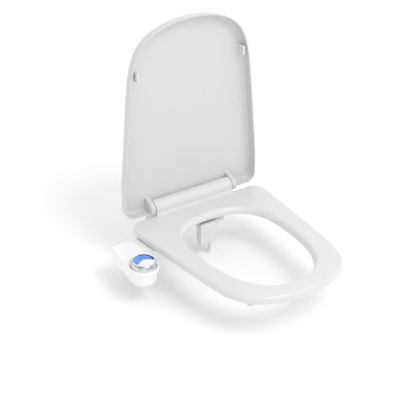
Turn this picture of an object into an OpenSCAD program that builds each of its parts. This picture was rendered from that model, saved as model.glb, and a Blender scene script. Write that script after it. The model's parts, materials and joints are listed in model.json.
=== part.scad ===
// Water-pressure bidet seat: wrap lid, seat ring, hinges, bidet slab, control pod, spray unit.
// Frame: origin midway between the two mounting studs on the bowl's top face, z up,
// +y to the tank, -y to the front of the bowl. The control pod is on the -x side.

/* [Seat] */
// Widest width of the seat ring
seat_w = 366; // [356:1:374]
// Hinge axis to the front edge of the seat ring
seat_l = 445; // [435:1:455]
// Thickness of the seat ring
seat_t = 17; // [15:0.5:19]
// Clear height between the bowl and the underside of the seat ring
seat_rise = 8; // [8:0.5:10]
// Width of the opening in the seat ring
hole_w = 236; // [226:1:242]
// Hinge axis to the front edge of the opening
hole_front = 398; // [390:1:402]
// Hinge axis to the rear edge of the opening
hole_back = 77; // [74:1:84]

/* [Hinge] */
// Height of the hinge axis over the bowl
hinge_z = 35.5; // [35:0.5:37]
// Radius of the hinge bar on the seat
bar_r = 18.5; // [17.5:0.5:19]
// Half length of the hinge bar
bar_half = 107; // [104:0.5:108]
// Diameter of the hinge pins
pin_d = 8; // [6:0.5:9]
// Thickness of each lid lug
lug_t = 12; // [11:0.5:14]

/* [Lid] */
// Height of the lid from rim to outer face
lid_h = 24.5; // [22:0.5:25]
// Wall thickness of the lid
lid_wall = 3.2; // [2.5:0.1:4]
// Angle of the open lid from its closed position
lid_open = 92.4; // [90:0.1:95]

/* [Mounting] */
// Distance between the two mounting studs
stud_pitch = 155; // [150:1:160]
// Diameter of the mounting studs
stud_d = 8; // [7:0.5:9]
// Thickness of the bowl deck that is clamped
deck_t = 38; // [30:1:45]

/* [Slab] */
// Thickness of the bidet slab
slab_t = 6; // [6:0.1:6.5]
// Front edge of the slab's tongue, measured forward of the studs
slab_front = 66; // [64:1:68]

/* [Pod] */
// Sideways position of the dial axis
dial_x = -231.5; // [-234:0.5:-231]
// Forward position of the dial axis
dial_y = -157; // [-160:1:-155]
// Outer radius of the cup rim round the dial
cup_r = 34.5; // [34:0.5:35.5]
// Radius of the dial trim ring
ring_r = 29.3; // [29:0.1:29.5]
// Height of the dial face over the bowl
dial_top = 20.5; // [19:0.5:21]
// Depth of the pod below the bowl's top face
pod_deep = 29; // [28:0.5:32]

/* [Spray unit] */
// Width of the guard gate
gate_w = 47; // [46:0.5:50]
// Lower edge of the guard gate below the bowl's top face
gate_low = 55; // [54:0.5:56]
// Diameter of each nozzle
nozzle_d = 9; // [8:0.5:9]
// Length of each nozzle
nozzle_l = 46; // [44:1:47]
// Travel of each nozzle
nozzle_run = 23; // [20:1:24]
// Distance between the nozzle axes
nozzle_gap = 16; // [15:0.5:17]

/* [Hidden] */
$fn = 64;
e = 0.01;
fit = 0.06;
seat_b = seat_rise;
seat_top = seat_b + seat_t;
back_in = 17;
lid_rim = seat_top + 2.3 - hinge_z;
lid_out = lid_rim + lid_h;
lid_floor = lid_out - lid_wall;
lug_in = bar_half + 1.3;
stud_x = stud_pitch / 2;
arm_x = -199;
pod_top = slab_t + 0.5;
noz_y = -70;
noz_low = -87;
gate_y = -72;
gate_z = -8;
gate_r = 6.5;
hous_low = -49;
inlet_x = -226;
inlet_y = -75;
arm_z = -15;

// ---------------------------------------------------------------- helpers

// Half outline of seat or lid, from the rear corner round to the front middle
function half_outline(w, front, back, corner) = concat(
  [for (a = [0:15:90]) [w - corner + corner * sin(a), -(back + corner) + corner * cos(a)]],
  [for (u = [0.1:0.1:0.6]) [edge_x(w, u), edge_y(front, u)]],
  [for (t = [10:5:90]) [w * (1 - 0.18 * pow(sin(t), 0.2)) * cos(t),
                        edge_y(front, pow(sin(t), 0.2))]]);
function edge_x(w, u) = w * (1 - 0.18 * u) * sqrt(1 - pow(u, 10));
function edge_y(front, u) = -(60 + (front - 60) * u);
function mirror_x(p) = [for (i = [len(p) - 1:-1:0]) [-p[i][0], p[i][1]]];

// Full outline grown outward by g
module outline(w, front, back, corner, g) {
  p = half_outline(w + g, front + g, back - g, max(corner + g, 2));
  polygon(concat(p, mirror_x(p)));
}

// Edge of the seat opening in the direction of p, an egg of two half superellipses, grown by g
hole_mid = -197;
function hole_edge(p, g) = let (
    d = [p[0], p[1] - hole_mid],
    w = hole_w / 2 + g,
    l = (d[1] > 0 ? hole_mid * -1 - hole_back : hole_front + hole_mid) + g,
    k = pow(pow(abs(d[0]) / w, 2.5) + pow(abs(d[1]) / l, 2.5), -0.4)
  ) [d[0] * k, hole_mid + d[1] * k];

module slice(z, t = 0.01) translate([0, 0, z]) linear_extrude(t) children();
module rod_x(x0, x1, y, z, r) translate([x0, y, z]) rotate([0, 90, 0]) cylinder(h = x1 - x0, r = r);
module rod_z(x, y, z0, z1, r) translate([x, y, z0]) cylinder(h = z1 - z0, r = r);
module block(a, b) translate(a) cube(b - a);
module profile_x(x0, x1) translate([x0, 0, 0]) rotate([90, 0, 90]) linear_extrude(x1 - x0) children();
module both() { children(); mirror([1, 0, 0]) children(); }
module at_studs() for (x = [-stud_x, stud_x]) translate([x, 0, 0]) children();
module hinge_frame() translate([0, 0, hinge_z]) rotate([-lid_open, 0, 0]) children();

function unit(v) = v / norm(v);

// Path with every inner corner rounded over at most 5 mm
function soften(p) = concat([p[0]],
  [for (i = [1:len(p) - 2]) let (
      d = min(5, norm(p[i - 1] - p[i]) * 0.45, norm(p[i + 1] - p[i]) * 0.45),
      a = p[i] + d * unit(p[i - 1] - p[i]), b = p[i] + d * unit(p[i + 1] - p[i]))
    for (t = [0:0.25:1]) (1 - t) * (1 - t) * a + 2 * t * (1 - t) * p[i] + t * t * b],
  [p[len(p) - 1]]);

// Side direction carried along a path without twist
function carry(t, i, n) = i == len(t) ? []
  : let (m = unit(n - (n * t[i]) * t[i])) concat([m], carry(t, i + 1, m));

// Round tube that follows a list of points
module tube(path, r, k = 12) {
  p = soften(path);
  z = len(p) - 1;
  t = [for (i = [0:z]) unit(p[min(i + 1, z)] - p[max(i - 1, 0)])];
  n = carry(t, 0, unit([0.3, 0.2, 0.9]));
  polyhedron(
    [for (i = [0:z], j = [0:k - 1])
      p[i] + r * (cos(j * 360 / k) * n[i] + sin(j * 360 / k) * cross(t[i], n[i]))],
    concat(
      [for (j = [1:k - 2]) [0, j, j + 1]],
      [for (j = [1:k - 2]) [z * k, z * k + j + 1, z * k + j]],
      [for (i = [0:z - 1], j = [0:k - 1]) let (a = i * k + j, b = i * k + (j + 1) % k)
        each [[a, a + k, b + k], [a, b + k, b]]]));
}

// ---------------------------------------------------------------- seat

function seat_edge(g, back = back_in) = let (
    h = half_outline(seat_w / 2 + g, seat_l + g, back - g, max(30 + g, 2)))
  concat(h, mirror_x(h));
function hole_loop(g) = [for (p = seat_edge(0)) hole_edge(p, g)];

// Moulded ring: one closed skin, rounded outside, rolled down at the opening, hollow below
module ring_body() {
  under = seat_edge(-5, back_in + 20);
  loops = [
    [seat_edge(-1.5), seat_b], [seat_edge(0), seat_b + 1.5], [seat_edge(0), seat_top - 6],
    [seat_edge(-0.8), seat_top - 3], [seat_edge(-2.7), seat_top - 1], [seat_edge(-6), seat_top],
    [hole_loop(11), seat_top], [hole_loop(6.5), seat_top - 1], [hole_loop(3), seat_top - 3.5],
    [hole_loop(0.8), seat_top - 8], [hole_loop(0), seat_top - 13], [hole_loop(0), seat_b + 1.5],
    [hole_loop(1.2), seat_b], [hole_loop(4), seat_b], [hole_loop(5.5), seat_b + 4],
    [hole_loop(9), seat_top - 6.5], [hole_loop(14), seat_top - 5.5],
    [under, seat_top - 5.5], [under, seat_b]];
  n = len(under);
  m = len(loops);
  polyhedron(
    [for (l = loops, p = l[0]) [p[0], p[1], l[1]]],
    [for (j = [0:m - 1], i = [0:n - 1]) let (
        i2 = (i + 1) % n, j2 = (j + 1) % m,
        a = j * n + i, b = j * n + i2, c = j2 * n + i2, d = j2 * n + i)
      each [[a, b, c], [a, c, d]]]);
}

module seat_ring() color("white") difference() {
  union() {
    ring_body();
    // bridges that carry the bumpers inside the recess
    for (p = bumper_spots()) translate([p[0], p[1], seat_b]) rotate(p[2])
      translate([-8, -21, 0]) cube([16, 42, seat_t - 5]);
    profile_x(-bar_half, bar_half) bar_profile();
  }
  for (c = [-stud_x, stud_x]) profile_x(c - 13, c + 13) post_slot();
  both() rod_x(44, 108, 0, hinge_z, pin_d / 2 + fit);
  rod_x(-stud_x + 12, -46, 0, hinge_z, 7);
  for (p = bumper_spots()) rod_z(p[0], p[1], seat_b - 2, seat_b + 3, 3);
}

// Section of the hinge bar: round about the axis, its front filleted into the ring
module bar_profile() {
  f = 9;
  dz = seat_top + f - 0.3 - hinge_z;
  yf = -sqrt(pow(bar_r + f, 2) - dz * dz);
  a0 = 180 + atan2(-dz, -yf);
  polygon(concat(
    [for (t = [-110:10:a0]) [bar_r * cos(t), hinge_z + bar_r * sin(t)]],
    [for (i = [0:6]) let (t = (a0 - 180) - i * (a0 - 90) / 6)
      [yf + f * cos(t), seat_top + f - 0.3 + f * sin(t)]],
    [[yf, seat_top - 6], [-back_in - 3, seat_top - 6], [-back_in - 3, hinge_z - bar_r + 1]]));
}

// Section of the slot for a hinge post, open below and behind
module post_slot() polygon(concat(
  [for (t = [90:15:180]) [12.2 * cos(t), hinge_z + 12.2 * sin(t)]],
  [[-12.2, 2], [32, 2], [32, hinge_z + 12.2]]));

function bumper_spots() = [[-150, -200, 0], [150, -200, 0], [-112, -388, -38], [112, -388, 38]];

module seat_bumpers() color("gainsboro")
  for (p = bumper_spots()) translate([p[0], p[1], 0]) rotate(p[2]) {
    translate([-6, -17, 0]) cube([12, 34, seat_b]);
    translate([0, 0, seat_b - 1]) cylinder(h = 4, r = 3);
  }

module seat_damper() color("dimgray") difference() {
  rod_x(-stud_x + 14, -46, 0, hinge_z, 7);
  rod_x(-stud_x + 13, -45, 0, hinge_z, pin_d / 2 + fit);
}

// ---------------------------------------------------------------- lid

// Moulding of the lid in its closed place, hinge axis along x through the origin
module lid_moulding() difference() {
  union() {
    difference() {
      hull() {
        slice(lid_rim) outline(seat_w / 2, seat_l, -8, 24, 0.5);
        slice(lid_out - 9) outline(seat_w / 2, seat_l, -8, 24, 0);
        slice(lid_out - 4.5) outline(seat_w / 2, seat_l, -8, 24, -1.3);
        slice(lid_out - 1.5) outline(seat_w / 2, seat_l, -8, 24, -4);
        slice(lid_out - e) outline(seat_w / 2, seat_l, -8, 24, -9);
      }
      hull() {
        slice(lid_rim - 1) outline(seat_w / 2, seat_l, -8, 24, 0.5 - lid_wall);
        slice(lid_floor - 6) outline(seat_w / 2, seat_l, -8, 24, -lid_wall - 0.5);
        slice(lid_floor - 2) outline(seat_w / 2, seat_l, -8, 24, -lid_wall - 2.5);
        slice(lid_floor) outline(seat_w / 2, seat_l, -8, 24, -lid_wall - 7);
      }
      block([-bar_half - 0.8, -20, -30], [bar_half + 0.8, 30, 30]);
    }
    both() intersection() {
      union() {
        rod_x(lug_in, lug_in + lug_t, 0, 0, bar_r);
        profile_x(lug_in, lug_in + lug_t)
          polygon([[-27, lid_floor + 1], [0, lid_floor + 1], [0, 0], [-16.5, -8.3]]);
      }
      block([0, -40, -30], [140, 8, lid_out - 0.4]);
    }
  }
  both() rod_x(lug_in - 5, lug_in + 9.5, 0, 0, pin_d / 2 + fit);
  rod_x(lug_in - 1, lug_in + 9, 0, 0, 6.5);
  both() bumper_pad();
}

// Panel and skirt forward of the hinge bar
module lid() color("white") hinge_frame() difference() {
  lid_moulding();
  block([-200, -20, -40], [200, 40, 40]);
}

// Rear corners of the lid, each with its hinge lug
module lid_ears() color("white") hinge_frame() both() intersection() {
  lid_moulding();
  block([bar_half + 0.8, -20, -40], [200, 40, 40]);
}

module bumper_pad() block([137, -349, lid_floor - 1.5], [149, -321, lid_floor]);

module lid_bumpers() color("gainsboro") hinge_frame() both() {
  block([140, -346, lid_rim - 2], [146, -324, lid_floor - 1]);
  bumper_pad();
}

module lid_damper() color("dimgray") hinge_frame() difference() {
  rod_x(lug_in + 1, lug_in + 9, 0, 0, 6.5);
  rod_x(lug_in, lug_in + 10, 0, 0, pin_d / 2 + fit);
}

// ---------------------------------------------------------------- hinge posts and fixings

module hinge_pins() color("silver") both() rod_x(45, lug_in + 9, 0, hinge_z, pin_d / 2);

module foot_plate(x, y, r, z0, z1)
  slice(z0, z1 - z0) hull() for (i = [-1, 1], j = [-1, 1])
    translate([i * (x - r), 4 + j * (y - r)]) circle(r = r, $fn = 32);

module hinge_posts() color("whitesmoke") at_studs() difference() {
  union() {
    foot_plate(19, 18, 6, slab_t, slab_t + 3);
    block([-11, -10, slab_t], [11, 10, hinge_z]);
    rod_x(-11, 11, 0, hinge_z, 11);
  }
  rod_x(-12, 12, 0, hinge_z, pin_d / 2 + 0.02);
  rod_z(0, 0, slab_t - 1, 17, stud_d / 2 - 0.08);
}

module foot_covers() color("white") at_studs() difference() {
  foot_plate(19, 18, 6, slab_t + 3, slab_t + 5);
  block([-11, -10, 0], [11, 10, 40]);
}

module mounting_studs() color("silver") at_studs() {
  rod_z(0, 0, -deck_t, 0, stud_d / 2);
  rod_z(0, 0, -deck_t - 26, -deck_t, stud_d / 2 - 0.1);
  rod_z(0, 0, 0, 17, stud_d / 2 - 0.1);
}

module cone_washers() color("dimgray") at_studs() difference() {
  translate([0, 0, -deck_t - 8]) cylinder(h = 8, r1 = 13, r2 = 9);
  rod_z(0, 0, -deck_t - 9, -deck_t + 1, stud_d / 2 - 0.1);
}

module wing_nuts() color("whitesmoke") at_studs() difference() {
  union() {
    rod_z(0, 0, -deck_t - 20, -deck_t - 10, 8);
    rod_z(0, 0, -deck_t - 10, -deck_t - 8, 14);
    block([-21, -1.75, -deck_t - 22], [21, 1.75, -deck_t - 9]);
  }
  rod_z(0, 0, -deck_t - 30, -deck_t, stud_d / 2 - 0.1);
}

// ---------------------------------------------------------------- bidet slab

// Outline of the slab: middle under the hinges, tongue over the nozzles, arm to the pod
module slab_outline(g) offset(delta = -g) polygon(concat(
  arc(106, 16, 8, 90, 0), arc(106, -44, 8, 0, -90),
  [[36, -52], [33, -slab_front], [-33, -slab_front], [-36, -52], [-92, -52]],
  [[-166, -108], [-184, -123], [arm_x, -128], [arm_x, -60], [-168, -40]],
  arc(-106, 16, 8, 180, 90)));
function arc(x, y, r, a, b) = [for (i = [0:6]) let (t = a + (b - a) * i / 6)
  [x + r * cos(t), y + r * sin(t)]];

// Slots for the studs, long sideways so that the slab can be shifted on the bowl
module stud_slots(g) at_studs() hull() for (x = [-7, 7]) translate([x, 0])
  circle(r = 5 + g, $fn = 32);

function screw_spots() = [[100, 12], [100, -42], [-100, 12], [-90, -42], [-188, -66], [-188, -117],
  [27, -59], [-27, -59]];

module base_plate() color("whitesmoke") difference() {
  slice(0, slab_t - 1.2) difference() { slab_outline(0); stud_slots(0); }
  slice(1.2, slab_t) difference() {
    slab_outline(2);
    stud_slots(4);
    for (p = screw_spots()) translate(p) circle(r = 4.5);
    // ribs along the arm
    translate([-150, -96]) square([3, 62]);
  }
  for (p = screw_spots()) {
    rod_z(p[0], p[1], -1, 2, 3);
    rod_z(p[0], p[1], 0, 9, 1.4);
  }
  // gap in the rib for the tubes
  block([-152, -80, 1.2], [-145, -58, 8]);
  // way up for the tubes from the nozzle housing
  for (s = [-1, 1]) rod_z(s * nozzle_gap / 2, -55, -1, 2, 2.6);
  // pockets for the pads
  for (p = pad_spots()) rod_z(p[0], p[1], -1, 0.8, 8);
  // end of the arm is open to the pod
  block([arm_x - 1, -112, 1.2], [arm_x + 4, -90, 8]);
}

module top_cover() color("white") difference() {
  slice(slab_t - 1.2, 1.2) difference() { slab_outline(0); stud_slots(0); }
  for (p = screw_spots()) rod_z(p[0], p[1], 0, slab_t - 0.5, 1.4);
}

function pad_spots() = [[98, -22], [-98, -22], [-172, -88], [36, -22], [-36, -22]];

module slab_pads() color("dimgray") for (p = pad_spots()) rod_z(p[0], p[1], 0, 0.8, 8);

module slab_screws() color("silver") for (p = screw_spots()) difference() {
  union() {
    rod_z(p[0], p[1], 0.3, 2, 3);
    rod_z(p[0], p[1], 0.3, slab_t - 0.5, 1.4);
  }
  translate([p[0], p[1], 0.2]) rotate(20) {
    translate([-2, -0.4, 0]) cube([4, 0.8, 0.9]);
    translate([-0.4, -2, 0]) cube([0.8, 4, 0.9]);
  }
}

// ---------------------------------------------------------------- control pod

// Plan of the pod: straight arm side, rounded rear corner, round front about the dial
module pod_plan(g, back) offset(delta = -g) polygon(concat(
  [[arm_x, back]], arc(-243, back - 12, 12, 90, 180),
  [for (a = [186:8:354]) [dial_x + (cup_r - 3.2) * cos(a), dial_y + (cup_r - 3.2) * sin(a)]]));

module pod_shell() color("white") difference() {
  union() {
    hull() {
      slice(-pod_deep) pod_plan(2.2, -58);
      slice(pod_top - 2.5) pod_plan(0, -50);
      slice(pod_top - 0.8) pod_plan(0.6, -50);
      slice(pod_top - e) pod_plan(2.2, -50);
    }
    rod_z(dial_x, dial_y, -1.5, pod_top + 1.6, cup_r);
  }
  difference() {
    hull() {
      slice(-pod_deep - 1) pod_plan(4.4, -58);
      slice(pod_top - 2.6) pod_plan(2.4, -50);
    }
    // tube and wall round the dial keep the top plate from flexing
    translate([0, 0, -12]) difference() {
      rod_z(dial_x, dial_y, 0, 40, cup_r - 0.4);
      rod_z(dial_x, dial_y, -1, 41, ring_r + 1);
      block([-231, -140, -1], [-190, -90, 12]);
    }
  }
  rod_z(dial_x, dial_y, -8, 20, ring_r + 0.5);
  translate([dial_x, dial_y, pod_top + 0.2]) cylinder(h = 2, r1 = ring_r + 0.5, r2 = ring_r + 2.3);
  // mouth for the tubes from the arm
  block([arm_x - 6, -112, 1.2], [arm_x + 1, -90, slab_t - 1.2]);
}

module pod_bottom() color("whitesmoke") {
  difference() {
    slice(-pod_deep, 2) pod_plan(4.8, -58);
    rod_z(inlet_x, inlet_y, -pod_deep - 1, -20, 9);
  }
  // pillar under the valve
  difference() {
    rod_z(dial_x, dial_y, -pod_deep + 1, -24, 12);
    rod_z(dial_x, dial_y, -27, -20, 8);
  }
}

module dial_body() color("white") difference() {
  union() {
    rod_z(dial_x, dial_y, -4, 11, ring_r - 1);
    rod_z(dial_x, dial_y, 11, dial_top - 2, 24.8);
  }
  rod_z(dial_x, dial_y, -5, dial_top - 5, 22);
  rod_z(dial_x, dial_y, dial_top - 6, dial_top + 1, 2);
}

module dial_ring() color("silver") translate([dial_x, dial_y, 0]) rotate_extrude($fn = 96)
  polygon(concat([[24.8, 11.1], [ring_r - 0.6, 11.1], [ring_r, 11.7]],
    [for (i = [0:6]) let (t = i * 15) [25.4 + (ring_r - 25.4) * cos(t), 12.4 + (dial_top - 13.4) * sin(t)]],
    [[24.8, dial_top - 1]]));

module dial_face() color("white") difference() {
  rod_z(dial_x, dial_y, dial_top - 2, dial_top, 24.8);
  translate([dial_x, dial_y, dial_top - 0.6]) linear_extrude(1) inlay_plan();
  translate([dial_x, dial_y, dial_top - 0.6]) linear_extrude(1) mark_plan();
}

// Blue field of the dial face: far half of the disc with a wavy near edge
module inlay_plan() polygon(concat(
  [for (t = [-28:8:92]) [19.2 * cos(t), 19.2 * sin(t)]],
  [for (t = [96:8:200]) [23.4 * cos(t), 23.4 * sin(t)]],
  [for (x = [-17:3:16]) [x, 0.8 - 0.034 * x * x]]));

// Black arc along the far right edge of the face
module mark_plan() polygon(concat(
  [for (t = [-28:8:92]) [24 * cos(t), 24 * sin(t)]],
  [for (t = [92:-8:-28]) [19.6 * cos(t), 19.6 * sin(t)]]));

module dial_inlay() color("cornflowerblue")
  translate([dial_x, dial_y, dial_top - 0.6]) linear_extrude(0.6) inlay_plan();

module dial_mark() color("black")
  translate([dial_x, dial_y, dial_top - 0.6]) linear_extrude(0.6) mark_plan();

module dial_screw() color("silver") {
  rod_z(dial_x, dial_y, dial_top - 3.4, dial_top - 2, 2);
  rod_z(dial_x, dial_y, -2, dial_top - 3.4, 1.5);
}

// ---------------------------------------------------------------- valve in the pod

module arm_rod(y0, y1, r)
  translate([inlet_x, y0, arm_z]) rotate([-90, 0, 0]) cylinder(h = y1 - y0, r = r);

module valve_body() color("goldenrod") difference() {
  union() {
    rod_z(dial_x, dial_y, -24, -11, 12);
    rod_z(dial_x, dial_y, -27, -24, 7.8);
    // side ports for the two tubes
    translate([dial_x, dial_y, -16]) rotate([0, 90, 30]) cylinder(h = 17, r = 3.5);
    translate([dial_x, dial_y, -16]) rotate([0, 90, -5]) cylinder(h = 17, r = 3.5);
    // inlet arm to the rear
    arm_rod(dial_y + 3, inlet_y - 2, 4);
  }
  rod_z(dial_x, dial_y, -22, -10, 9);
  arm_rod(dial_y + 3, inlet_y, 2.6);
}

module valve_bonnet() color("goldenrod") difference() {
  union() {
    rod_z(dial_x, dial_y, -14, -11, 8.9);
    translate([dial_x, dial_y, -11]) cylinder(h = 4.5, r = 12, $fn = 6);
  }
  rod_z(dial_x, dial_y, -15, -6, 4 + fit);
}

module valve_stem() color("silver") difference() {
  union() {
    rod_z(dial_x, dial_y, -16.5, dial_top - 5, 4);
    rod_z(dial_x, dial_y, -18, -16.5, 7.5);
  }
  rod_z(dial_x, dial_y, -2.2, 20, 1.5);
}

module valve_disc() color("ivory") difference() {
  rod_z(dial_x, dial_y, -20, -18, 8.6);
  rod_z(dial_x + 4.5, dial_y, -21, -17, 1.6);
}

module valve_rings() color("black") translate([dial_x, dial_y, -15]) rotate_extrude()
  translate([8, 0]) circle(r = 0.9, $fn = 24);

// Elbow in the pod with its threaded end below
module inlet_fitting() color("goldenrod") difference() {
  union() {
    translate([inlet_x, inlet_y, -pod_deep - 2]) cylinder(h = 2, r = 15, $fn = 6);
    rod_z(inlet_x, inlet_y, -pod_deep - 14, -pod_deep - 2, 10.48);
    rod_z(inlet_x, inlet_y, -pod_deep, -8, 8.9);
  }
  rod_z(inlet_x, inlet_y, -pod_deep - 15, -10, 4.5);
  arm_rod(inlet_y - 12, inlet_y, 4.1);
}

module inlet_strainer() color("silver") difference() {
  rod_z(inlet_x, inlet_y, -pod_deep - 10, -pod_deep - 1, 4.4);
  rod_z(inlet_x, inlet_y, -pod_deep - 11, -pod_deep - 2, 3.8);
  for (x = [-2.4:1.2:2.4], y = [-2.4:1.2:2.4]) if (x * x + y * y < 9)
    rod_z(inlet_x + x, inlet_y + y, -pod_deep - 3, -pod_deep, 0.4);
}

// Water ways from the valve through the arm to the nozzle housing
module rear_tube() color("lightblue") tube([
  [dial_x + 14.9, dial_y + 8.6, -16], [dial_x + 18.2, dial_y + 10.5, -16], [-211, -126, -16],
  [-209.5, -110, -14], [-206.5, -100, -5], [-205.5, -98, 1], [-203.5, -97.6, 3], [-150, -66, 3],
  [-112, -34, 3], [-100, -28, 3], [2, -28, 3], [7.5, -31, 3], [8, -54.5, 3], [8, -55, -6]], 1.7);

module front_tube() color("lightblue") tube([
  [dial_x + 17.15, dial_y - 1.5, -16], [dial_x + 20.9, dial_y - 1.8, -16], [-208, -134, -16],
  [-205.2, -118, -14], [-205, -108, -6], [-205, -105, 1], [-203.5, -104.8, 3], [-150, -73, 3],
  [-112, -40, 3], [-100, -33.5, 3], [-14, -33.5, 3], [-8.5, -36, 3], [-8, -54.5, 3],
  [-8, -55, -6]], 1.7);

// ---------------------------------------------------------------- spray unit

function noz_x(i) = i * nozzle_gap / 2;

module nozzle_housing() color("whitesmoke") difference() {
  union() {
    block([-gate_w / 2 + 3, noz_y - 5.5, hous_low], [gate_w / 2 - 3, -56, -15.5]);
    block([-gate_w / 2 + 4, -64, -16], [gate_w / 2 - 4, -50, 0]);
    // lugs that hold the gate pin
    both() {
      block([gate_w / 2 - 6, gate_y - 4, -16], [gate_w / 2 - 3, gate_y + 4, gate_z]);
      rod_x(gate_w / 2 - 6, gate_w / 2 - 3, gate_y, gate_z, 4);
    }
    // roof behind the gate
    block([-gate_w / 2, -66.5, -3.5], [gate_w / 2, -50, -1.5]);
    block([-gate_w / 2, -68.5, -2.3], [gate_w / 2, -66, -1.5]);
  }
  for (i = [-1, 1]) {
    rod_z(noz_x(i), noz_y, hous_low - 1, -15, nozzle_d / 2 + 0.05);
    rod_z(noz_x(i), -55, -30, 1, 2);
    translate([noz_x(i), -53, -26]) rotate([90, 0, 0]) cylinder(h = 16, r = 2);
  }
  rod_x(-gate_w, gate_w, gate_y, gate_z, 1.5);
}

module nozzle_solid(i, drop) difference() {
  rod_z(noz_x(i), noz_y, noz_low + 5 + drop, noz_low + nozzle_l + drop, nozzle_d / 2);
  rod_z(noz_x(i), noz_y, noz_low + 4 + drop, noz_low + nozzle_l + 1 + drop, 2);
}
module tip_solid(i, drop) difference() {
  union() {
    rod_z(noz_x(i), noz_y, noz_low + drop + 1, noz_low + 5 + drop, nozzle_d / 2);
    translate([noz_x(i), noz_y, noz_low + drop])
      cylinder(h = 1, r1 = nozzle_d / 2 - 1, r2 = nozzle_d / 2);
    rod_z(noz_x(i), noz_y, noz_low + 5 + drop, noz_low + 12 + drop, 2);
  }
  translate([noz_x(i), noz_y, noz_low + 3 + drop]) rotate([90, 0, 0]) cylinder(h = 9, r = 0.8);
}

module rear_nozzle() color("whitesmoke") nozzle_solid(1, 0);
module rear_tip() color("white") tip_solid(1, 0);
module front_nozzle() color("whitesmoke") nozzle_solid(-1, nozzle_run);
module front_tip() color("white") tip_solid(-1, nozzle_run);

module nozzle_seals() color("black") for (i = [-1, 1]) difference() {
  rod_z(noz_x(i), noz_y, hous_low - 1.5, hous_low, nozzle_d / 2 + 1.2);
  rod_z(noz_x(i), noz_y, hous_low - 2, hous_low + 1, nozzle_d / 2 + 0.05);
}

// Hood over the pin, front plate and two cheeks
module guard_gate() color("whitesmoke") difference() {
  union() {
    rod_x(-gate_w / 2, gate_w / 2, gate_y, gate_z, gate_r);
    block([-gate_w / 2, gate_y - gate_r, -gate_low], [gate_w / 2, gate_y - gate_r + 2, gate_z]);
    both() profile_x(gate_w / 2 - 2, gate_w / 2) polygon([
      [gate_y - gate_r, gate_z], [gate_y - gate_r, -gate_low], [gate_y + 3, -gate_low],
      [gate_y + 8, -gate_low + 6], [gate_y + gate_r, gate_z]]);
  }
  rod_x(-gate_w / 2 + 2, gate_w / 2 - 2, gate_y, gate_z, gate_r - 2);
  block([-gate_w / 2 + 2, gate_y + 1.6, -30], [gate_w / 2 - 2, gate_y + 20, 0]);
  block([-gate_w / 2 + 2, gate_y - gate_r + 2, -30], [gate_w / 2 - 2, gate_y + 3, gate_z]);
  rod_x(-gate_w, gate_w, gate_y, gate_z, 1.5 + fit);
}

module gate_pin() color("silver") rod_x(-gate_w / 2, gate_w / 2, gate_y, gate_z, 1.5);

// ---------------------------------------------------------------- output

seat_ring();
seat_bumpers();
lid();
lid_ears();
lid_bumpers();
seat_damper();
lid_damper();
hinge_pins();
hinge_posts();
foot_covers();
mounting_studs();
cone_washers();
wing_nuts();
base_plate();
top_cover();
slab_pads();
slab_screws();
pod_shell();
pod_bottom();
dial_body();
dial_ring();
dial_face();
dial_inlay();
dial_mark();
dial_screw();
valve_body();
valve_bonnet();
valve_stem();
valve_disc();
valve_rings();
inlet_fitting();
inlet_strainer();
rear_tube();
front_tube();
nozzle_housing();
rear_nozzle();
front_nozzle();
rear_tip();
front_tip();
nozzle_seals();
guard_gate();
gate_pin();
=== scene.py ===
"""Bidet seat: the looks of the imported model.

Shapes are drawn in millimetres and bm_object scales them to metres. The studio is in metres.
"""
import json
import math

import bmesh
import bpy
from mathutils import Matrix, Vector

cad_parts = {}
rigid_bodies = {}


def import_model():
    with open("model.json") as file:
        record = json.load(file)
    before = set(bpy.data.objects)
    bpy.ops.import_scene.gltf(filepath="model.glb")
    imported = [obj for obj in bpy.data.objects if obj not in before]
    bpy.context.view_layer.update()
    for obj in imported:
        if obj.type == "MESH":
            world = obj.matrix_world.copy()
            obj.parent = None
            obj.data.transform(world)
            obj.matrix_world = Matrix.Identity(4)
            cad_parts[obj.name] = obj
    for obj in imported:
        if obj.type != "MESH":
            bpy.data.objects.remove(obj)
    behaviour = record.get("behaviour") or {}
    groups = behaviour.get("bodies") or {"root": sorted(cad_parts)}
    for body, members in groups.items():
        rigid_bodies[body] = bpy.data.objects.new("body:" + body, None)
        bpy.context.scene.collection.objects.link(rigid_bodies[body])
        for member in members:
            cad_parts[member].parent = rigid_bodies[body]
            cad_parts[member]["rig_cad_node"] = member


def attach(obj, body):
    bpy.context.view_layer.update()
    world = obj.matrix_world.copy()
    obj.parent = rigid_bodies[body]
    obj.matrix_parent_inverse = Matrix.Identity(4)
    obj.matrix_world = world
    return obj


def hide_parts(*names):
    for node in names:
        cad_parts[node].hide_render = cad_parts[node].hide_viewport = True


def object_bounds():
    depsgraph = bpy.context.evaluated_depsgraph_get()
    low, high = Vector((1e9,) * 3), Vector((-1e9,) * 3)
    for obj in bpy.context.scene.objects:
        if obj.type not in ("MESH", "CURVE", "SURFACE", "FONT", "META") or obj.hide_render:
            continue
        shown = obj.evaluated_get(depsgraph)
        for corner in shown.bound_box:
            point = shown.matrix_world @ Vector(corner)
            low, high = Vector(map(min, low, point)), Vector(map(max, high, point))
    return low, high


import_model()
CAD_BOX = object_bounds()
MM = 0.001

# Sizes shared with the CAD model
# Seat ring: half width, front and rear edge from the hinge axis, underside, top
SEAT_W, SEAT_L, BACK_IN, SEAT_B, SEAT_TOP = 183.0, 445.0, 17.0, 8.0, 25.0
# Its opening: half width, y of its widest place, reach behind and in front of that, and power
HOLE_W, HOLE_MID, HOLE_BACK, HOLE_FRONT, HOLE_POWER = 118.0, -197.0, 120.0, 201.0, 2.5
# Rounding of the ring's edge at the foot and top, height of the recess below, lip of the opening
SEAT_FOOT_R, SEAT_EDGE_R, RECESS_Z, LIP_R, LIP_DROP = 1.5, 6.2, SEAT_TOP - 5.5, 11.0, 13.0
# Seat and lid narrow towards the front, from this distance on and by this share of the width
TAPER_FROM, TAPER = 60, 0.18
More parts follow.
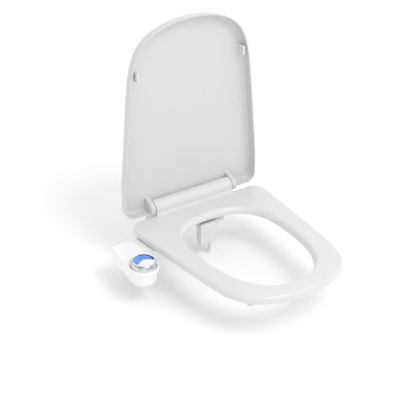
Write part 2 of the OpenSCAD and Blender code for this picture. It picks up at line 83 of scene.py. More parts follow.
# Hinge: height of the axis, radius and half length of the bar, radius of the bore for the pins
HINGE_Z, BAR_R, BAR_HALF, PIN_BORE = 35.5, 18.5, 107.0, 4.06
HINGE = (0, HINGE_Z)
# Lid, lying closed with the hinge axis at z = 0: rim, height, wall, edge rounding, opening angle
LID_RIM, LID_H, LID_WALL, LID_EDGE_R, LID_OPEN = -8.2, 24.5, 3.2, 9.0, 92.4
LID_OUT = LID_RIM + LID_H
LID_FLOOR = LID_OUT - LID_WALL
LUG_IN, LUG_T = 108.3, 12.0
STUD_X = 77.5
# Pod: dial axis, radii of cup and bright ring, tops of dial and shell, depth, line of the arm
DIAL = (-231.5, -157.0)
CUP_R, RING_R, DIAL_TOP, POD_TOP, POD_DEEP, ARM_X = 34.5, 29.3, 20.5, 6.5, 29.0, -199.0
# Gate: half width, pivot in y and z, radius of its hood, lower edge
GATE_HALF, GATE_Y, GATE_Z, GATE_R, GATE_LOW = 23.5, -72.0, -8.0, 6.5, -55.0
# Nozzles: half spacing, y, lowest point of the rear one, length of the tube, travel
NOZ_X, NOZ_Y, NOZ_LOW, NOZ_L, NOZ_TRAVEL = 8.0, -70.0, -87.0, 46.0, 23

BORE_SOFT = 0.01    # end rounding of a cutter whose ends don't show


# ---------------------------------------------------------------- mesh helpers

def arc(cx, cy, r, a0, a1, n):
    """n + 1 points on an arc, angles in degrees."""
    out = []
    for i in range(n + 1):
        t = math.radians(a0 + (a1 - a0) * i / n)
        out.append((cx + r * math.cos(t), cy + r * math.sin(t)))
    return out


def quarter(n):
    """n + 1 angles from 0 to a right angle."""
    return [math.radians(90 * i / n) for i in range(n + 1)]


def bm_object(name, bm, turn=None):
    """Object from a mesh in millimetres, closed, cleaned and scaled to metres."""
    bmesh.ops.remove_doubles(bm, verts=bm.verts, dist=1e-4)
    bmesh.ops.recalc_face_normals(bm, faces=bm.faces)
    if turn is not None:
        bm.transform(turn)
    bm.transform(Matrix.Scale(MM, 4))
    me = bpy.data.meshes.new(name)
    bm.to_mesh(me)
    bm.free()
    o = bpy.data.objects.new(name, me)
    bpy.context.scene.collection.objects.link(o)
    return o


def skin(bm, loops, ring=False):
    """Quads between loops of equal length. The ends are capped, or joined to each other by ring."""
    rows = [[bm.verts.new(p) for p in loop] for loop in loops]
    n = len(rows[0])
    pairs = list(zip(rows, rows[1:])) + ([(rows[-1], rows[0])] if ring else [])
    for a, b in pairs:
        for i in range(n):
            j = (i + 1) % n
            bm.faces.new((a[i], a[j], b[j], b[i]))
    if not ring:
        bm.faces.new(rows[0][::-1])
        bm.faces.new(rows[-1])
    return bm


def lathe(profile, n=96, axis="z", at=(0, 0, 0), ring=False):
    """Profile of (radius, height) turned about an axis. Its ends lie on the axis, or it's a closed
    section off the axis and ring is True."""
    loops = []
    for r, h in profile:
        row = []
        for i in range(n):
            t = 2 * math.pi * i / n
            c, s = r * math.cos(t), r * math.sin(t)
            row.append({"z": (c, s, h), "x": (h, c, s), "y": (s, h, c)}[axis])
        loops.append([Vector(p) + Vector(at) for p in row])
    return skin(bmesh.new(), loops, ring)


def inset(pts, d):
    """Closed outline moved inward by d along its vertex normals."""
    n = len(pts)
    area = sum(pts[i][0] * pts[(i + 1) % n][1] - pts[(i + 1) % n][0] * pts[i][1] for i in range(n))
    sign = 1 if area > 0 else -1
    out = []
    for i in range(n):
        a, b, c = Vector(pts[i - 1]), Vector(pts[i]), Vector(pts[(i + 1) % n])
        e0, e1 = (b - a), (c - b)
        e0 = e0.normalized() if e0.length > 1e-9 else Vector((0, 0))
        e1 = e1.normalized() if e1.length > 1e-9 else Vector((0, 0))
        n0, n1 = Vector((-e0.y, e0.x)), Vector((-e1.y, e1.x))
        m = n0 + n1
        m = m.normalized() if m.length > 1e-9 else n1
        k = max(0.5, m.dot(n1))
        out.append(tuple(b + m * (sign * d / k)))
    return out


def rounded_steps(r, n=4):
    """(inset, height) pairs of a quarter round of radius r, from the side to the face."""
    return [(r * (1 - math.cos(math.pi / 2 * i / n)), r * math.sin(math.pi / 2 * i / n))
            for i in range(n + 1)]


def prism(pts, lo, hi, r=1.0, axis="x", n=3, r_lo=None):
    """Outline extruded between lo and hi along an axis, with its end edges rounded."""
    bm = bmesh.new()
    r_lo = r if r_lo is None else r_lo
    rows = []
    for d, h in reversed(rounded_steps(r_lo, n)):
        rows.append((inset(pts, d), lo + r_lo - h))
    for d, h in rounded_steps(r, n):
        rows.append((inset(pts, d), hi - r + h))

    def place(p, h):
        return {"x": (h, p[0], p[1]), "y": (p[0], h, p[1]), "z": (p[0], p[1], h)}[axis]

    return skin(bm, [[place(p, h) for p in row] for row, h in rows])


def rounded_rect(x0, x1, y0, y1, r, n=5):
    """Rectangle outline with round corners."""
    return (arc(x1 - r, y1 - r, r, 0, 90, n) + arc(x0 + r, y1 - r, r, 90, 180, n)
            + arc(x0 + r, y0 + r, r, 180, 270, n) + arc(x1 - r, y0 + r, r, 270, 360, n))


def join(*bms):
    """One mesh that holds several, without joining their surfaces."""
    out = bmesh.new()
    for b in bms:
        me = bpy.data.meshes.new("part")
        b.to_mesh(me)
        b.free()
        out.from_mesh(me)
        bpy.data.meshes.remove(me)
    return out


def mirrored(bm):
    """The mesh and its mirror image in x."""
    other = bm.copy()
    other.transform(Matrix.Scale(-1, 4, (1, 0, 0)))
    bmesh.ops.reverse_faces(other, faces=other.faces)
    return join(bm, other)


def combine(base, steps):
    """Boolean steps on a mesh: a list of (operation, mesh), run exactly and in order."""
    bmesh.ops.recalc_face_normals(base, faces=base.faces)
    me = bpy.data.meshes.new("base")
    base.to_mesh(me)
    base.free()
    o = bpy.data.objects.new("base", me)
    bpy.context.scene.collection.objects.link(o)
    for op, tool in steps:
        bmesh.ops.recalc_face_normals(tool, faces=tool.faces)
        tm = bpy.data.meshes.new("tool")
        tool.to_mesh(tm)
        tool.free()
        t = bpy.data.objects.new("tool", tm)
        bpy.context.scene.collection.objects.link(t)
        m = o.modifiers.new("cut", "BOOLEAN")
        m.operation, m.solver, m.object = op, "EXACT", t
        bpy.context.view_layer.update()
        graph = bpy.context.evaluated_depsgraph_get()
        done = bpy.data.meshes.new_from_object(o.evaluated_get(graph))
        o.modifiers.clear()
        o.data = done
        bpy.data.objects.remove(t)
        bpy.data.meshes.remove(tm)
    out = bmesh.new()
    out.from_mesh(o.data)
    bpy.data.objects.remove(o)
    return out


def rod(axis, at, lo, hi, r, soft=0.4, n=48):
    """Solid rod along an axis, its end edges rounded; at gives the two other coordinates."""
    soft = min(soft, r * 0.9, (hi - lo) / 2 * 0.9)
    prof = [(0.0, lo)]
    prof += [(r - d, lo + soft - h) for d, h in reversed(rounded_steps(soft, 3))]
    prof += [(r - d, hi - soft + h) for d, h in rounded_steps(soft, 3)]
    prof += [(0.0, hi)]
    place = {"x": (0, at[0], at[1]), "y": (at[0], 0, at[1]), "z": (at[0], at[1], 0)}[axis]
    return lathe(prof, n, axis, place)


def box(lo, hi, r=1.0, n=3):
    """Box with all its edges rounded."""
    bm = bmesh.new()
    bmesh.ops.create_cube(bm, size=1)
    size = Vector(hi) - Vector(lo)
    for v in bm.verts:
        v.co = Vector(lo) + Vector([(c + 0.5) * s for c, s in zip(v.co, size)])
    if r > 0:
        bmesh.ops.bevel(bm, geom=bm.edges[:], offset=min(r, min(size) * 0.45), segments=n,
                        profile=0.5, affect="EDGES", clamp_overlap=True)
    return bm


def finish_piece(o, body, slot, material, *nodes, sharp=40.0):
    """Smooth shading with real edges kept, a material, and the CAD nodes it stands for."""
    for p in o.data.polygons:
        p.use_smooth = True
    o.data.set_sharp_from_angle(angle=math.radians(sharp))
    w = o.modifiers.new("normals", "WEIGHTED_NORMAL")
    w.keep_sharp = True
    w.weight = 60
    o.data.materials.clear()
    o.data.materials.append(material)
    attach(o, body)
    if nodes:
        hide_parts(*nodes)
    return o


# ---------------------------------------------------------------- materials

def new_material(name, color, rough, metallic=0.0, coat=0.0, coat_rough=0.08, spec=0.5):
    """Material, its node tree and shader, and the object coordinates to build on."""
    m = bpy.data.materials.new(name)
    m.use_nodes = True
    nt = m.node_tree
    bsdf = nt.nodes["Principled BSDF"]
    bsdf.inputs["Base Color"].default_value = (*color, 1)
    bsdf.inputs["Roughness"].default_value = rough
    bsdf.inputs["Metallic"].default_value = metallic
    bsdf.inputs["Coat Weight"].default_value = coat
    bsdf.inputs["Coat Roughness"].default_value = coat_rough
    bsdf.inputs["Specular IOR Level"].default_value = spec
    m.diffuse_color = (*color, 1)
    coord = nt.nodes.new("ShaderNodeTexCoord")
    return m, nt, bsdf, coord.outputs["Object"]


def noise(nt, vec, scale, detail=3.0, rough=0.5, stretch=None):
    """Noise value, its coordinates stretched where asked."""
    if stretch:
        mp = nt.nodes.new("ShaderNodeMapping")
        mp.inputs["Scale"].default_value = stretch
        nt.links.new(vec, mp.inputs["Vector"])
        vec = mp.outputs["Vector"]
    n = nt.nodes.new("ShaderNodeTexNoise")
    n.inputs["Scale"].default_value = scale
    n.inputs["Detail"].default_value = detail
    n.inputs["Roughness"].default_value = rough
    nt.links.new(vec, n.inputs["Vector"])
    return n.outputs["Fac"]


def spread(nt, value, lo, hi, from_lo=0.3, from_hi=0.7):
    """A value's middle range spread over lo to hi."""
    n = nt.nodes.new("ShaderNodeMapRange")
    n.inputs["From Min"].default_value = from_lo
    n.inputs["From Max"].default_value = from_hi
    n.inputs["To Min"].default_value = lo
    n.inputs["To Max"].default_value = hi
    nt.links.new(value, n.inputs["Value"])
    return n.outputs["Result"]


def blend_color(nt, fac, a, b):
    """Colour between a, a colour or a socket, and the colour b."""
    n = nt.nodes.new("ShaderNodeMix")
    n.data_type = "RGBA"
    if isinstance(a, tuple):
        n.inputs["A"].default_value = (*a, 1)
    else:
        nt.links.new(a, n.inputs["A"])
    n.inputs["B"].default_value = (*b, 1)
    nt.links.new(fac, n.inputs["Factor"])
    return n.outputs["Result"]


def bump(nt, bsdf, height, strength, distance):
    """Fine relief on a shader, distance in metres."""
    n = nt.nodes.new("ShaderNodeBump")
    n.inputs["Strength"].default_value = strength
    n.inputs["Distance"].default_value = distance
    nt.links.new(height, n.inputs["Height"])
    nt.links.new(n.outputs["Normal"], bsdf.inputs["Normal"])


def moulded(name, color, rough, coat=0.0, tint=0.996, grain=900.0, grain_depth=0.00003,
            peel=0.0, spec=0.5, coat_rough=0.08):
    """Moulded plastic: faint cloudy tone, uneven gloss, fine grain or orange peel in the surface."""
    m, nt, bsdf, co = new_material(name, color, rough, coat=coat, spec=spec, coat_rough=coat_rough)
    clouds = spread(nt, noise(nt, co, 9.0, 4.0), 0.0, 1.0)
    darker = tuple(c * tint for c in color)
    nt.links.new(blend_color(nt, clouds, color, darker), bsdf.inputs["Base Color"])
    smear = noise(nt, co, 30.0, 5.0, 0.6)
    nt.links.new(spread(nt, smear, rough * 0.93, rough * 1.08), bsdf.inputs["Roughness"])
    fine = noise(nt, co, grain, 2.0)
    if peel:
        add = nt.nodes.new("ShaderNodeMath")
        add.operation = "MULTIPLY_ADD"
        nt.links.new(noise(nt, co, 160.0, 1.0), add.inputs[0])
        add.inputs[1].default_value = peel
        nt.links.new(fine, add.inputs[2])
        fine = add.outputs[0]
    bump(nt, bsdf, fine, 0.35, grain_depth)
    return m


def metal(name, color, rough, stretch=None, scale=400.0, stain=None, depth=0.00002):
    """Metal with drawn or turned lines, uneven polish and, where asked, a stain."""
    m, nt, bsdf, co = new_material(name, color, rough, metallic=1.0)
    lines = noise(nt, co, scale, 4.0, 0.6, stretch)
    nt.links.new(spread(nt, lines, rough * 0.7, rough * 1.4), bsdf.inputs["Roughness"])
    base = blend_color(nt, spread(nt, noise(nt, co, 60.0, 5.0), 0.0, 1.0), color,
                       stain or tuple(c * 0.9 for c in color))
    nt.links.new(base, bsdf.inputs["Base Color"])
    bump(nt, bsdf, lines, 0.3, depth)
    return m


def rubber(name, color, rough=0.7):
    """Soft rubber: dusty tone, dull and slightly pitted."""
    m, nt, bsdf, co = new_material(name, color, rough, spec=0.3)
    dust = spread(nt, noise(nt, co, 120.0, 6.0, 0.7), 0.0, 1.0)
    nt.links.new(blend_color(nt, dust, color, tuple(min(1, c * 1.25 + 0.02) for c in color)),
                 bsdf.inputs["Base Color"])
    nt.links.new(spread(nt, noise(nt, co, 300.0, 3.0), rough * 0.9, min(1, rough * 1.15)),
                 bsdf.inputs["Roughness"])
    bump(nt, bsdf, noise(nt, co, 1400.0, 3.0), 0.5, 0.00006)
    return m


def printed(name, color, light, rough=0.25):
    """Printed film of the dial: a field of colour with soft lighter drops in it."""
    m, nt, bsdf, co = new_material(name, color, rough, coat=0.15, coat_rough=0.1, spec=0.35)
    vor = nt.nodes.new("ShaderNodeTexVoronoi")
    vor.inputs["Scale"].default_value = 210.0
    vor.inputs["Randomness"].default_value = 0.8
    nt.links.new(co, vor.inputs["Vector"])
    drops = spread(nt, vor.outputs["Distance"], 0.75, 0.0, 0.12, 0.42)
    shade = blend_color(nt, drops, color, light)
    tone = spread(nt, noise(nt, co, 70.0, 2.0), 0.0, 0.5)
    deeper = tuple(c * 0.8 for c in color)
    nt.links.new(blend_color(nt, tone, shade, deeper), bsdf.inputs["Base Color"])
    bump(nt, bsdf, drops, 0.1, 0.00005)
    return m


SEAT_MAT = moulded("seat_white", (0.71, 0.712, 0.717), 0.25, coat=0.3, grain=700,
                   grain_depth=0.000006, peel=0.6)
# Lid: the seat's white plastic, set darker so that the lid and the shade in its hollow come out deeper;
# this darker white is painted shade.
LID_SHADED_MAT = moulded("lid_white", (0.65, 0.652, 0.657), 0.3, coat=0.25, grain=700,
                  grain_depth=0.000006, peel=0.6)
POD_MAT = moulded("pod_white", (0.89, 0.89, 0.895), 0.2, coat=0.45, grain=900,
                  grain_depth=0.00001, peel=1.5)
SLAB_MAT = moulded("slab_white", (0.8, 0.8, 0.805), 0.42, grain=1800, grain_depth=0.00005)
POST_MAT = moulded("post_white", (0.83, 0.83, 0.835), 0.35, grain=1200, grain_depth=0.00003)
SPRAY_MAT = moulded("spray_white", (0.7, 0.705, 0.71), 0.3, coat=0.2, grain=1500,
                    grain_depth=0.00002)
FACE_MAT = moulded("dial_white", (0.88, 0.88, 0.885), 0.2, coat=0.8, grain=1200,
                   grain_depth=0.00001, coat_rough=0.03)
# Grey of the seat bumpers, lid bumpers and cone washers; on the lid bumpers this grey also stands for
# the shade on their faces: partly painted shade.
GREY_AND_SHADE_MAT = rubber("soft_grey", (0.62, 0.63, 0.64), 0.55)
BLACK_MAT = rubber("black_rubber", (0.03, 0.03, 0.032), 0.75)
DAMPER_MAT = moulded("damper_grey", (0.07, 0.075, 0.085), 0.5, tint=0.8, grain=1500,
                     grain_depth=0.00005)
STEEL_MAT = metal("steel", (0.62, 0.63, 0.64), 0.32, stretch=(30.0, 30.0, 1.0))
TRIM_MAT = metal("bright_trim", (0.86, 0.87, 0.89), 0.09, scale=250.0, depth=0.000004,
                 stain=(0.3, 0.31, 0.34))
BRASS_MAT = metal("brass", (0.72, 0.5, 0.22), 0.3, stretch=(1.0, 30.0, 1.0),
                  stain=(0.5, 0.33, 0.15))
BLUE_MAT = printed("face_blue", (0.09, 0.3, 0.86), (0.42, 0.66, 0.98))
MARK_MAT = moulded("mark_black", (0.008, 0.008, 0.012), 0.6, tint=1.6, grain=900,
                   grain_depth=0.00001, spec=0.15)
DISC_MAT = moulded("disc_ceramic", (0.85, 0.8, 0.68), 0.25, tint=0.92, grain=2200,
                   grain_depth=0.00002)
TUBE_MAT = moulded("tube_blue", (0.36, 0.58, 0.78), 0.3, coat=0.3, tint=0.85, grain=600,
                   grain_depth=0.00003)


# ---------------------------------------------------------------- outlines

def half_outline(w, front, back, corner):
    """Right half of the seat or lid outline, rear middle to just before the front middle."""
    pts = [((w - corner) * i / 12, -back) for i in range(12)]
    pts += [(w - corner + corner * math.sin(a), -(back + corner) + corner * math.cos(a))
            for a in quarter(12)]

    def side(u, keep):
        """Point at the share u of the tapered length, at the share keep of the width there."""
        eased = u * u / (u + 0.03)
        return w * (1 - TAPER * eased) * keep, -(TAPER_FROM + (front - TAPER_FROM) * u)

    for i in range(1, 27):
        u = 0.7 * i / 26
        pts.append(side(u, math.sqrt(1 - u ** 10)))
    for i in range(1, 41):
        t = math.radians(9.7 + 80.3 * i / 41)
        pts.append(side(math.sin(t) ** 0.2, math.cos(t)))
    return pts


def outline(w, front, back, corner, g=0.0):
    """Whole seat or lid outline, grown by g."""
    h = half_outline(w + g, front + g, back - g, max(corner + g, 1.5))
    return h + [(0.0, -(front + g))] + [(-x, y) for x, y in h[:0:-1]]


def seat_edge(g, back=BACK_IN):
    return outline(SEAT_W, SEAT_L, back, 30.0, g)


def hole_loop(g):
    """Edge of the seat opening, in the same directions as the outer edge, grown by g."""
    out = []
    for x, y in seat_edge(0.0):
        dx, dy = x, y - HOLE_MID
        w, l = HOLE_W + g, (HOLE_BACK if dy > 0 else HOLE_FRONT) + g
        k = ((abs(dx) / w) ** HOLE_POWER + (abs(dy) / l) ** HOLE_POWER) ** (-1 / HOLE_POWER)
        out.append((dx * k, HOLE_MID + dy * k))
    return out


def at_z(loop, z):
    return [(x, y, z) for x, y in loop]


def mix_loops(a, b, t, z):
    """Loop at the share t of the way from a to b."""
    return [(p[0] + (q[0] - p[0]) * t, p[1] + (q[1] - p[1]) * t, z) for p, q in zip(a, b)]


# ---------------------------------------------------------------- seat ring

# Seat bumpers: x, y and turn
BUMPERS = [(-150, -200, 0), (150, -200, 0), (-112, -388, -38), (112, -388, 38)]


def placed(bm, x, y, deg):
    """The mesh turned about z, then moved."""
    bm.transform(Matrix.Translation((x, y, 0)) @ Matrix.Rotation(math.radians(deg), 4, "Z"))
    return bm


def bar_profile():
    """Section of the hinge bar in y and z: round about the axis, filleted into the ring in front."""
    f, top = 9.0, SEAT_TOP - 0.04
    dz = top + f - HINGE_Z
    yf = -math.sqrt((BAR_R + f) ** 2 - dz * dz)
    a0 = 180 + math.degrees(math.atan2(-dz, -yf))
    pts = arc(0, HINGE_Z, BAR_R, -110, a0, 60)
    pts += arc(yf, top + f, f, a0 - 180, -90, 18)[1:]
    foot = SEAT_TOP - 5
    return pts + [(yf, foot), (-BACK_IN - 3, foot), (-BACK_IN - 3, HINGE_Z - BAR_R + 1)]


def seat_section():
    """Loops round the ring's section: outer edge, top, lip of the opening, then the recess below."""
    loops = [at_z(seat_edge(-SEAT_FOOT_R + SEAT_FOOT_R * math.sin(a)),
                  SEAT_B + SEAT_FOOT_R - SEAT_FOOT_R * math.cos(a)) for a in quarter(3)]
    loops += [at_z(seat_edge(0), SEAT_TOP - SEAT_EDGE_R)]
    loops += [at_z(seat_edge(-SEAT_EDGE_R * (1 - math.cos(a))),
                   SEAT_TOP - SEAT_EDGE_R * (1 - math.sin(a))) for a in quarter(8)[1:]]
    outer, lip = seat_edge(-SEAT_EDGE_R), hole_loop(LIP_R)
    loops += [mix_loops(outer, lip, t, SEAT_TOP) for t in (0.06, 0.3, 0.65, 0.94)]
    loops += [at_z(hole_loop(LIP_R * (1 - math.sin(a))), SEAT_TOP - LIP_DROP * (1 - math.cos(a)))
              for a in quarter(12)]
    loops += [at_z(hole_loop(g), z) for g, z in (
        (0, SEAT_B + 1.8), (0.4, SEAT_B + 0.6), (1.5, SEAT_B), (3.8, SEAT_B), (4.4, SEAT_B + 0.6),
        (5.5, SEAT_B + 4), (7, SEAT_B + 8), (9.5, RECESS_Z - 1.4), (14, RECESS_Z))]
    return loops + [at_z(seat_edge(g, BACK_IN + 20), z) for g, z in (
        (-6, RECESS_Z), (-5.2, RECESS_Z - 0.8), (-5, SEAT_B + 0.5), (-4.6, SEAT_B))]


def make_seat():
    """Seat ring with its hinge bar: bumper blocks and ribs below, slots and bores in the bar."""
    ring = skin(bmesh.new(), seat_section(), ring=True)
    block_top = RECESS_Z + 0.5

    steps = []
    for x, y, turn in BUMPERS:
        block = box((-8, -21, SEAT_B), (8, 21, block_top), 0.8, 2)
        steps.append(("UNION", placed(block, x, y, turn)))
    # ribs across the recess
    for y in (-120, -165, -240, -295, -345):
        reach = HOLE_BACK if y > HOLE_MID else HOLE_FRONT
        hole_half = HOLE_W * (1 - (abs(y - HOLE_MID) / reach) ** HOLE_POWER) ** (1 / HOLE_POWER)
        edge_half = SEAT_W * (1 - TAPER * (-y - TAPER_FROM) / (SEAT_L - TAPER_FROM))
        for side in (-1, 1):
            x0, x1 = sorted((side * (hole_half + 20), side * (edge_half - 5.5)))
            rib = box((x0, y - 1.2, SEAT_B + 3), (x1, y + 1.2, block_top), 0.3, 1)
            steps.append(("UNION", rib))
    steps.append(("UNION", prism(bar_profile(), -BAR_HALF, BAR_HALF, 1.0, "x")))
    slot_r = 12.2
    slot = (arc(0, HINGE_Z, slot_r, 90, 180, 14)
            + [(-slot_r, 2), (32, 2), (32, HINGE_Z + slot_r)])
    for x in (-STUD_X, STUD_X):
        steps.append(("DIFFERENCE", prism(slot, x - 13, x + 13, BORE_SOFT, "x", 1)))
    for s in (-1, 1):
        lo, hi = sorted((s * 44, s * 108))
        steps.append(("DIFFERENCE", rod("x", HINGE, lo, hi, PIN_BORE, BORE_SOFT)))
    damper_bore = rod("x", HINGE, -STUD_X + 12, -46, 7.0, BORE_SOFT)
    steps.append(("DIFFERENCE", damper_bore))
    o = bm_object("seat_ring_piece", combine(ring, steps))
    return finish_piece(o, "seat", "seat_white", SEAT_MAT, "seat_ring", sharp=35)


def make_seat_bumpers():
    """Four pads with grooves across the foot and a peg into the ring."""
    parts = []
    for x, y, turn in BUMPERS:
        pad = prism(rounded_rect(-6, 6, -17, 17, 3.5), 0, SEAT_B, 1.0, "z", 3)
        cuts = [("DIFFERENCE", box((-7, c - 0.7, -1), (7, c + 0.7, 0.8), 0))
                for c in (-9, -3, 3, 9)]
        cuts.append(("UNION", rod("z", (0, 0), SEAT_B - 1, SEAT_B + 3, 3, 0.6, 24)))
        parts.append(placed(combine(pad, cuts), x, y, turn))
    o = bm_object("seat_bumper_pieces", join(*parts))
    return finish_piece(o, "seat", "soft_grey", GREY_AND_SHADE_MAT, "seat_bumpers")


# ---------------------------------------------------------------- lid

# From the lid's own place, closed about the axis, to the open place in the photograph
OPEN = Matrix.Translation((0, 0, HINGE_Z)) @ Matrix.Rotation(math.radians(-LID_OPEN), 4, "X")


def lid_edge(g):
    return outline(SEAT_W, SEAT_L, -8.0, 24.0, g)


def lug_profile():
    """Section of a hinge lug in y and z: round about the axis, its foot on the lid's panel."""
    start = math.degrees(math.atan2(-8.3, -16.5)) % 360
    end = 360 - math.degrees(math.acos(8 / BAR_R))
    foot = [(-30, LID_OUT - 0.5), (-30, LID_FLOOR - 0.2), (-26.5, LID_FLOOR - 0.8),
            (-24.6, LID_FLOOR - 3.4)]
    back = [(8, 0), (8, LID_OUT - 9), (7.2, LID_OUT - 5), (4, LID_OUT - 1.6), (0, LID_OUT - 0.5)]
    return foot + arc(0, 0, BAR_R, start, end, 30) + back


def lid_section():
    """Loops from the lid's outer face over the rim to its inner face."""
    draft, rim_r, cove = 0.5, 0.9, 7.0
    inner = draft - LID_WALL
    loops = [at_z(lid_edge(-LID_EDGE_R * (1 - math.cos(a))),
                  LID_OUT - LID_EDGE_R * (1 - math.sin(a))) for a in quarter(9)[::-1]]
    loops += [at_z(lid_edge(draft * t), LID_OUT - LID_EDGE_R - t * (LID_H - LID_EDGE_R - rim_r))
              for t in (0.5, 1.0)]
    loops += [at_z(lid_edge(draft - rim_r * (1 - math.cos(a))),
                   LID_RIM + rim_r * (1 - math.sin(a))) for a in quarter(3)[1:]]
    loops += [at_z(lid_edge(inner + rim_r * (1 - math.cos(a))),
                   LID_RIM + rim_r * (1 - math.sin(a))) for a in quarter(3)[::-1]]
    return loops + [at_z(lid_edge(inner - 0.8 - cove * (1 - math.cos(a))),
                         LID_FLOOR - cove * (1 - math.sin(a))) for a in quarter(8)]


def make_lid():
    """Lid with its notch for the hinge bar and its two lugs."""
    body = skin(bmesh.new(), lid_section())
    notch = BAR_HALF + 0.8
    steps = [("DIFFERENCE", box((-notch, -10.05, -40), (notch, 40, 40), 0)),
             ("DIFFERENCE", rod("x", (0, 0), -notch, notch, BAR_R + 0.7, BORE_SOFT, 96))]
    for s in (-1, 1):
        lo, hi = sorted((s * LUG_IN, s * (LUG_IN + LUG_T)))
        steps.append(("UNION", prism(lug_profile(), lo, hi, 1.4, "x", 4)))
    for s in (-1, 1):
        lo, hi = sorted((s * (LUG_IN - 5), s * (LUG_IN + 9.5)))
        steps.append(("DIFFERENCE", rod("x", (0, 0), lo, hi, PIN_BORE, BORE_SOFT)))
    damper_bore = rod("x", (0, 0), LUG_IN - 1, LUG_IN + 9, 6.5, BORE_SOFT)
    steps.append(("DIFFERENCE", damper_bore))
    o = bm_object("lid_piece", combine(body, steps), OPEN)
    return finish_piece(o, "cover", "lid_white", LID_SHADED_MAT, "lid", "lid_ears", sharp=35)


def make_lid_bumpers():
    """A block on a thin pad, on each side of the lid's inner face."""
    pad = prism(rounded_rect(137.2, 148.8, -348.8, -321.2, 2.5), LID_FLOOR - 1.5,
                LID_FLOOR - 0.02, 0.6, "z", 2)
    block = prism(rounded_rect(140, 146, -346, -324, 2.2), LID_RIM - 2, LID_FLOOR - 1, 1.6,
                  "z", 4, r_lo=1.8)
    o = bm_object("lid_bumper_pieces", mirrored(combine(pad, [("UNION", block)])), OPEN)
    # The grey of these blocks is painted shade, the tone of the shade on the lid's inner walls.
    return finish_piece(o, "cover", "soft_grey", GREY_AND_SHADE_MAT, "lid_bumpers")


# ---------------------------------------------------------------- slab

def slab_outline():
    """Plan of the slab, counter-clockwise, its corners rounded."""
    pts = arc(-106, 16, 8, 90, 180, 8) + [(-168, -40)]
    pts += arc(ARM_X + 3, -60 - 3, 3, 90, 180, 4)
    pts += arc(ARM_X + 4, -123.6, 4, 180, 265, 5)
    pts += arc(-187, -117, 6, 285, 312, 4) + [(-166, -108)]
    pts += [(-100, -58.1), (-92, -53.4), (-84, -52), (-38, -52), (-35.5, -53), (-34, -56),
            (-33, -64.5), (-31.5, -66), (31.5, -66), (33, -64.5), (34, -56), (35.5, -53), (38, -52)]
    return pts + arc(106, -44, 8, 270, 360, 8) + arc(106, 16, 8, 0, 90, 8)


def make_slab():
    """Top cover of the slab, with a slot for each stud."""
    top = prism(slab_outline(), 4.8, 6.0, 0.9, "z", 3, r_lo=0.05)
    cuts = []
    for x in (-STUD_X, STUD_X):
        pts = arc(x + 7, 0, 5, -90, 90, 16) + arc(x - 7, 0, 5, 90, 270, 16)
        cuts.append(("DIFFERENCE", prism(pts, 0, 12, BORE_SOFT, "z", 1)))
    o = bm_object("slab_cover_piece", combine(top, cuts))
    return finish_piece(o, "base", "slab_white", SLAB_MAT, "top_cover")


# ---------------------------------------------------------------- control pod

def pod_plan(g, back, cup, arm=ARM_X):
    """Plan of the pod, counter-clockwise: arm side, rounded rear corner, round front about the dial."""
    pts = [(arm - 30 * t, back - g) for t in (0, 0.33, 0.66)]
    pts += arc(-243, back - 12, 12 - g, 90, 180, 10)
    front = arc(DIAL[0], DIAL[1], cup - g, 186, 354, 48)
    last = Vector(pts[-1])
    pts += [tuple(last.lerp(Vector(front[0]), t)) for t in (0.25, 0.5, 0.75)]
    pts += front
    join_y = pts[-1][1] + 14
    return pts + [(arm, join_y), (arm, (join_y + back) / 2)]


def make_pod():
    """Pod shell: hollow body, cup with its rolled rim, and the slot for the arm."""
    cup = CUP_R - 3.2
    rows = [(-POD_DEEP, 3.0, -58), (-POD_DEEP + 0.8, 2.2, -57.8), (-14, 1.1, -54), (0, 0.3, -51),
            (2.5, 0, -50)]
    edge_r = 4
    rows += [(POD_TOP - edge_r * (1 - math.sin(a)), edge_r * (1 - math.cos(a)), -50)
             for a in quarter(7)[1:]]
    body = skin(bmesh.new(), [at_z(pod_plan(g, back, cup), z) for z, g, back in rows])
    top, bore = POD_TOP + 1.6, RING_R + 0.5
    rim = [(0.0, top - 2.2), (bore, top - 2.2)]
    in_r, out_r = 1.6, 1.9
    rim += [(bore + in_r - in_r * math.cos(a), top - in_r + in_r * math.sin(a))
            for a in quarter(3)[:-1]]
    rim += [(CUP_R - out_r + out_r * math.sin(a), top - out_r + out_r * math.cos(a))
            for a in map(math.radians, (0, 22, 45, 67, 90))]
    rim += [(CUP_R, -0.6), (CUP_R - 0.35, -1.2), (CUP_R - 1.0, -1.5), (CUP_R - 3.6, -1.5),
            (0.0, -3.0)]
    hollow = skin(bmesh.new(), [at_z(pod_plan(5.2, -58, cup, ARM_X - 3), -POD_DEEP - 1),
                                at_z(pod_plan(2.6, -50, cup, ARM_X - 2.4), POD_TOP - 2.6)])
    wall = combine(rod("z", DIAL, -8, POD_TOP, RING_R + 1.1, BORE_SOFT, 96),
                   [("DIFFERENCE", box((-231, -140, -13), (-190, -90, 0), 0))])
    steps = [("UNION", lathe(rim, 128, "z", (*DIAL, 0))), ("DIFFERENCE", hollow),
             ("UNION", wall), ("DIFFERENCE", rod("z", DIAL, -9, 20, bore, BORE_SOFT, 96)),
             ("DIFFERENCE", box((ARM_X - 6, -112, 1.2), (ARM_X + 1, -90, 4.8), 0))]
    o = bm_object("pod_shell_piece", combine(body, steps))
    return finish_piece(o, "base", "pod_white", POD_MAT, "pod_shell", sharp=40)


def make_dial():
    """Bright ring of the dial, domed from its foot to the edge of the face."""
    inner, crown = 24.8, 25.5
    prof = [(inner, 11.1), (RING_R - 0.8, 11.1), (RING_R - 0.2, 11.3), (RING_R, 11.9)]
    prof += [(crown + (RING_R - crown) * math.cos(t), 12.4 + (DIAL_TOP - 13.4) * math.sin(t))
             for t in quarter(12)[1:]]
    prof += [(25.1, DIAL_TOP - 1.05), (inner, DIAL_TOP - 1.3)]
    o = bm_object("dial_ring_piece", lathe(prof, 128, "z", (*DIAL, 0), ring=True))
    return finish_piece(o, "dial", "bright_trim", TRIM_MAT, "dial_ring", sharp=50)


# ---------------------------------------------------------------- spray unit

